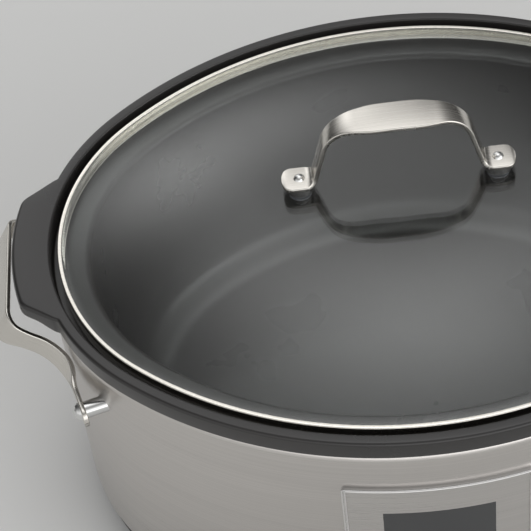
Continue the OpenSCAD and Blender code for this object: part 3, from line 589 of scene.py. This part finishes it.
RING_SHEET = 0.8 * MM
half_rim = RIM_WIDTH / 2
flange_in = -half_rim - MM
ring_inside = half_rim - RING_SHEET
rim_outline = rounded([
    (-half_rim, RIM_Z - RING_SHEET, 0.2 * MM), (-half_rim, RIM_Z, 0.35 * MM),
    (half_rim, RIM_Z, 0.7 * MM), (half_rim, SEAT_Z, 0.5 * MM), (flange_in, SEAT_Z, 0.35 * MM),
    (flange_in, SEAT_Z + RING_SHEET, 0.3 * MM), (ring_inside, SEAT_Z + RING_SHEET, 0.1 * MM),
    (ring_inside, RIM_Z - RING_SHEET, 0.1 * MM),
], 4, closed=True)
standing_for("lid_ring", swept(rim_outline, ring=True), "lid", "lid_rim", sharp=70)

# ---- Lid handle ----

STRAP = 2.6 * MM
STRAP_EDGE = 0.7 * MM
GRIP_HALF_WIDTH = 9.75 * MM
LEG_HALF_WIDTH = 5.75 * MM
LID_PAD_HALF_WIDTH = 8 * MM
SIDE_PAD_HALF_WIDTH = 6 * MM
PAD_CORNER = 5.5 * MM
LID_GRIP_HALF = 34 * MM
LID_BEND_X = 43.6 * MM
LID_BEND_RADIUS = 5.6 * MM
LID_CROWN_RADIUS = 18 * MM
LID_CROWN_DROP = 2.2 * MM
STRAP_STEP = 1.2 * MM
lid_pad_z = lid_strap_low.z + STRAP / 2
lid_grip_z = lid_strap_high.z - STRAP / 2


def pad_end_width(half_width, left):
    """Half the width of a pad, rounded off where little of its length is left."""
    if left < PAD_CORNER:
        half_width += math.sqrt(PAD_CORNER**2 - (PAD_CORNER - max(left, 0)) ** 2) - PAD_CORNER
    return half_width


def lid_half_width(reach):
    """Half the width of the lid's strap at a distance from its middle."""
    reach = abs(reach)
    width = mix(GRIP_HALF_WIDTH, LEG_HALF_WIDTH - 0.2 * MM, ease((reach - 9 * MM) / (29 * MM)))
    width = mix(width, LID_PAD_HALF_WIDTH, ease((reach - LID_BEND_X + 1.5 * MM) / (6 * MM)))
    return pad_end_width(width, lid_strap_high.x - reach)


lid_line_2d = rounded([
    (-lid_strap_high.x, lid_pad_z), (-LID_BEND_X, lid_pad_z, LID_BEND_RADIUS),
    (-LID_GRIP_HALF, lid_grip_z - LID_CROWN_DROP, LID_CROWN_RADIUS),
    (0, lid_grip_z + 0.2 * MM, 240 * MM),
    (LID_GRIP_HALF, lid_grip_z - LID_CROWN_DROP, LID_CROWN_RADIUS),
    (LID_BEND_X, lid_pad_z, LID_BEND_RADIUS), (lid_strap_high.x, lid_pad_z),
], 12)
lid_line_2d = spaced(lid_line_2d, STRAP_STEP)
lid_line = [Vector((p.x, 0, p.y)) for p in lid_line_2d]
points, faces, uvs = strap(
    lid_line,
    lambda i: lid_half_width(lid_line[i].x),
    lambda i: Vector((0, 1, 0)), STRAP, STRAP_EDGE,
)
standing_for("lid_handle_strap", (points, faces), "lid", "lid_handle", uvs=uvs, sharp=50)

# ---- Housing ----

SHOULDER = 7 * MM
SHEET = MM
shell_outline = rounded([
    (-MM, shell_high.z), (SHELL_REACH, shell_high.z, SHOULDER + SHEET / 2),
    (SHELL_REACH, shell_low.z, 2.5 * MM), (-6 * MM, shell_low.z), (-6 * MM, shell_low.z + SHEET),
    (SHELL_REACH - SHEET, shell_low.z + SHEET, 1.5 * MM),
    (SHELL_REACH - SHEET, shell_high.z - SHEET, SHOULDER - SHEET / 2), (-MM, shell_high.z - SHEET),
], 10, closed=True)
standing_for("housing_shell", swept(shell_outline, ring=True), "housing", "outer_shell", sharp=50)

# ---- Side handles ----

SIDE_TILT = math.radians(30)
SIDE_SPLAY = math.radians(15)
SIDE_GRIP_HALF = 36.7 * MM
SIDE_BEND_Y = SIDE_GRIP_HALF + 5.3 * MM
SIDE_REACH = 44.5 * MM
SIDE_SCREW_Y = 74.2 * MM
SIDE_STANDOFF = 10 * MM
SIDE_PAD_REACH = 9 * MM
SIDE_BEND_RADIUS = 26 * MM
SIDE_GRIP_CORNER = 9 * MM
side_z = (spacer_low.z + spacer_high.z) / 2
pad_off = SIDE_STANDOFF + STRAP / 2
shell_x = END_X + math.sqrt((END_RADIUS + SHELL_REACH) ** 2 - SIDE_SCREW_Y**2)
side_pad_x = shell_x + pad_off * math.cos(SIDE_SPLAY)
side_pad_y = SIDE_SCREW_Y + pad_off * math.sin(SIDE_SPLAY)
bend_out = (side_pad_y - SIDE_BEND_Y) * math.tan(SIDE_SPLAY)
side_end_y = side_pad_y + SIDE_PAD_REACH * math.cos(SIDE_SPLAY)
pad_end_out = -SIDE_PAD_REACH * math.sin(SIDE_SPLAY)

# The strap's line in its tilted plane: (distance out from the screws, y)
side_line_2d = rounded([
    (pad_end_out, -side_end_y), (bend_out, -SIDE_BEND_Y, SIDE_BEND_RADIUS),
    (SIDE_REACH, -SIDE_GRIP_HALF, SIDE_GRIP_CORNER), (SIDE_REACH, SIDE_GRIP_HALF, SIDE_GRIP_CORNER),
    (bend_out, SIDE_BEND_Y, SIDE_BEND_RADIUS), (pad_end_out, side_end_y),
], 16)
side_line_2d = spaced(side_line_2d, STRAP_STEP)


def side_half_width(i):
    """Half the width of a side handle's strap at point i of its line."""
    out, y = side_line_2d[i].x, abs(side_line_2d[i].y)
    past_grip = ease((y - SIDE_GRIP_HALF + 8 * MM) / (9 * MM))
    leg = past_grip * ease((SIDE_REACH + 9 * MM - out) / (24 * MM))
    width = mix(GRIP_HALF_WIDTH, LEG_HALF_WIDTH, leg)
    width = mix(width, SIDE_PAD_HALF_WIDTH, ease((y - 60 * MM) / (8 * MM)))
    return pad_end_width(width, (side_end_y - y) / math.cos(SIDE_SPLAY))


def side_strap(side):
    """One side handle. Its pads stand upright, and it twists into its tilted legs and grip."""
    tilts, line = [], []
    for p in side_line_2d:
        twist = 1 - ease((abs(p.y) - 46 * MM) / (20 * MM))
        flat = ease((abs(p.y) - 58 * MM) / (10 * MM))
        rise = mix(SIDE_TILT, 0, flat)
        tilts.append(SIDE_TILT * twist)
        x = side_pad_x + p.x * math.cos(rise)
        line.append(Vector((side * x, p.y, side_z + p.x * math.sin(rise))))
    return strap(
        line, side_half_width,
        lambda i: Vector((-side * math.sin(tilts[i]), 0, math.cos(tilts[i]))), STRAP, STRAP_EDGE,
    )


for side, name in ((-1, "left_handle"), (1, "right_handle")):
    points, faces, uvs = side_strap(side)
    standing_for(name + "_strap", (points, faces), "housing", name, uvs=uvs, sharp=50)

# ---- Control panel ----

PANEL_RADIUS = SIDE_RADIUS + SHELL_REACH
BEZEL_PROUD = 2.4 * MM
BEZEL_CORNER = 1.5 * MM
panel_half = PANEL_RADIUS * math.asin(bezel_high.x / (PANEL_RADIUS + BEZEL_PROUD))


def on_panel(along, z, out):
    """A point on the front of the shell, along it from the middle and out of it."""
    angle = along / PANEL_RADIUS
    radius = PANEL_RADIUS + out
    return Vector((radius * math.sin(angle), SIDE_Y - radius * math.cos(angle), z))


# The frame's section in millimetres: (distance in from its outer edge, distance out of the shell)
bezel_section = [
    (0, 0), (0, 1.9), (0.15, 2.25), (0.45, 2.4), (0.85, 2.4), (1.05, 2.2), (1.2, 1.75), (1.4, 1.7),
    (1.55, 1.95), (1.8, 2.1), (2.15, 2.1), (2.38, 1.95), (2.5, 1.6), (2.5, 0),
]


def bezel_frame():
    """The panel's frame: its section carried round a rounded rectangle bent to the shell."""
    middle_z = (bezel_low.z + bezel_high.z) / 2
    half_z = (bezel_high.z - bezel_low.z) / 2
    # The corner arcs as (their centre along and up, the direction out of them)
    loop = []
    for sx, sz, start in ((1, -1, -90), (1, 1, 0), (-1, 1, 90), (-1, -1, 180)):
        for k in range(5):
            a = math.radians(start + 90 * k / 4)
            centre = (sx * (panel_half - BEZEL_CORNER), sz * (half_z - BEZEL_CORNER))
            loop.append((*centre, math.cos(a), math.sin(a)))
    dense = []
    for here, there in zip(loop, loop[1:] + loop[:1]):
        count = max(1, math.ceil(math.dist(here[:2], there[:2]) / (3 * MM)))
        for k in range(count):
            dense.append(tuple(mix(a, b, k / count) for a, b in zip(here, there)))
    points = []
    for x, z, nx, nz in dense:
        for inward, out in bezel_section:
            reach = BEZEL_CORNER - inward * MM
            points.append(on_panel(x + nx * reach, middle_z + z + nz * reach, out * MM))
    count = len(bezel_section)
    faces = []
    for i in range(len(dense)):
        here, there = i * count, (i + 1) % len(dense) * count
        for j in range(count - 1):
            faces.append((here + j, there + j, there + j + 1, here + j + 1))
    return points, faces


standing_for("panel_frame", bezel_frame(), "housing", "panel_bezel", sharp=35)


# ---- Stage ----


FLOOR_HALF = 6.0


def stage_floor():
    """A wide sheet of matt pale paper under the object."""
    mesh = bpy.data.meshes.new("floor")
    corners = [(x * FLOOR_HALF, y * FLOOR_HALF, 0) for x, y in ((-1, -1), (1, -1), (1, 1), (-1, 1))]
    mesh.from_pydata(corners, [], [(0, 1, 2, 3)])
    paint = Paint("floor_paper", (0.74, 0.74, 0.73), 0.9)
    tooth = paint.noise(paint.space((300, 300, 300)), 1.0, 3.0)
    paint.drive("Normal", paint.bump(tooth, 0.02 * MM))
    mesh.materials.append(paint.material)
    floor = bpy.data.objects.new("floor", mesh)
    bpy.context.scene.collection.objects.link(floor)


# The studio: soft lights far off, each (azimuth, elevation, radiance, tightness). Azimuth 0 is
# behind the object and 90 to its right. Each fades out smoothly from its middle, so that no edge
# of a lamp is mirrored in the steel or the glass.
LIGHTS = [
    (125, 12, 3.0, 8), (-125, 12, 0.9, 8), (180, 12, 1.6, 8), (6, 46, 0.12, 8), (12, 74, 1.7, 12),
    (0, 88, 0.3, 8), (-19, 31, 1.5, 20), (70, 30, 0.12, 8),
]
BASE_LIGHT = 0.03


def studio_light():
    """A world whose brightness is a base plus a smooth bump round each light's direction."""
    world = bpy.data.worlds.new("studio")
    world.use_nodes = True
    tree = world.node_tree
    way = tree.nodes.new("ShaderNodeTexCoord").outputs["Generated"]
    total = None
    for azimuth, elevation, radiance, tightness in LIGHTS:
        a, e = math.radians(azimuth), math.radians(elevation)
        middle = (math.sin(a) * math.cos(e), math.cos(a) * math.cos(e), math.sin(e))
        dot = tree.nodes.new("ShaderNodeVectorMath")
        dot.operation = "DOT_PRODUCT"
        dot.inputs[1].default_value = middle
        tree.links.new(way, dot.inputs[0])
        fall = tree.nodes.new("ShaderNodeMath")
        fall.operation = "MULTIPLY_ADD"
        fall.inputs[1].default_value = tightness
        fall.inputs[2].default_value = -tightness
        tree.links.new(dot.outputs["Value"], fall.inputs[0])
        bump = tree.nodes.new("ShaderNodeMath")
        bump.operation = "EXPONENT"
        tree.links.new(fall.outputs[0], bump.inputs[0])
        add = tree.nodes.new("ShaderNodeMath")
        add.operation = "MULTIPLY_ADD"
        add.inputs[1].default_value = radiance
        tree.links.new(bump.outputs[0], add.inputs[0])
        if total:
            tree.links.new(total, add.inputs[2])
        else:
            add.inputs[2].default_value = BASE_LIGHT
        total = add.outputs[0]
    tree.links.new(total, tree.nodes["Background"].inputs["Strength"])
    tree.nodes["Background"].inputs["Color"].default_value = (1, 1, 1, 1)
    bpy.context.scene.world = world


stage_floor()
studio_light()

# ---- Camera ----

CAMERA_AZIMUTH = 2.0
CAMERA_ELEVATION = 48.6
CAMERA_ROLL = -7.9
CAMERA_LENS = 135.6
CAMERA_DISTANCE = 1027.6 * MM
target = Vector((-73.1 * MM, -28.4 * MM, RIM_Z))
a, e, roll = (math.radians(v) for v in (CAMERA_AZIMUTH, CAMERA_ELEVATION, CAMERA_ROLL))
back = Vector((math.sin(a) * math.cos(e), -math.cos(a) * math.cos(e), math.sin(e)))
right = (-back).cross(Vector((0, 0, 1))).normalized()
up = right.cross(-back)
across = right * math.cos(roll) + up * math.sin(roll)
upward = up * math.cos(roll) - right * math.sin(roll)
camera_data = bpy.data.cameras.new("camera")
camera_data.lens = CAMERA_LENS
camera = bpy.data.objects.new("camera", camera_data)
turn = Matrix((across, upward, back)).transposed().to_4x4()
camera.matrix_world = Matrix.Translation(target + back * CAMERA_DISTANCE) @ turn
bpy.context.scene.collection.objects.link(camera)
bpy.context.scene.camera = camera

bpy.context.scene.view_settings.view_transform = "Standard"
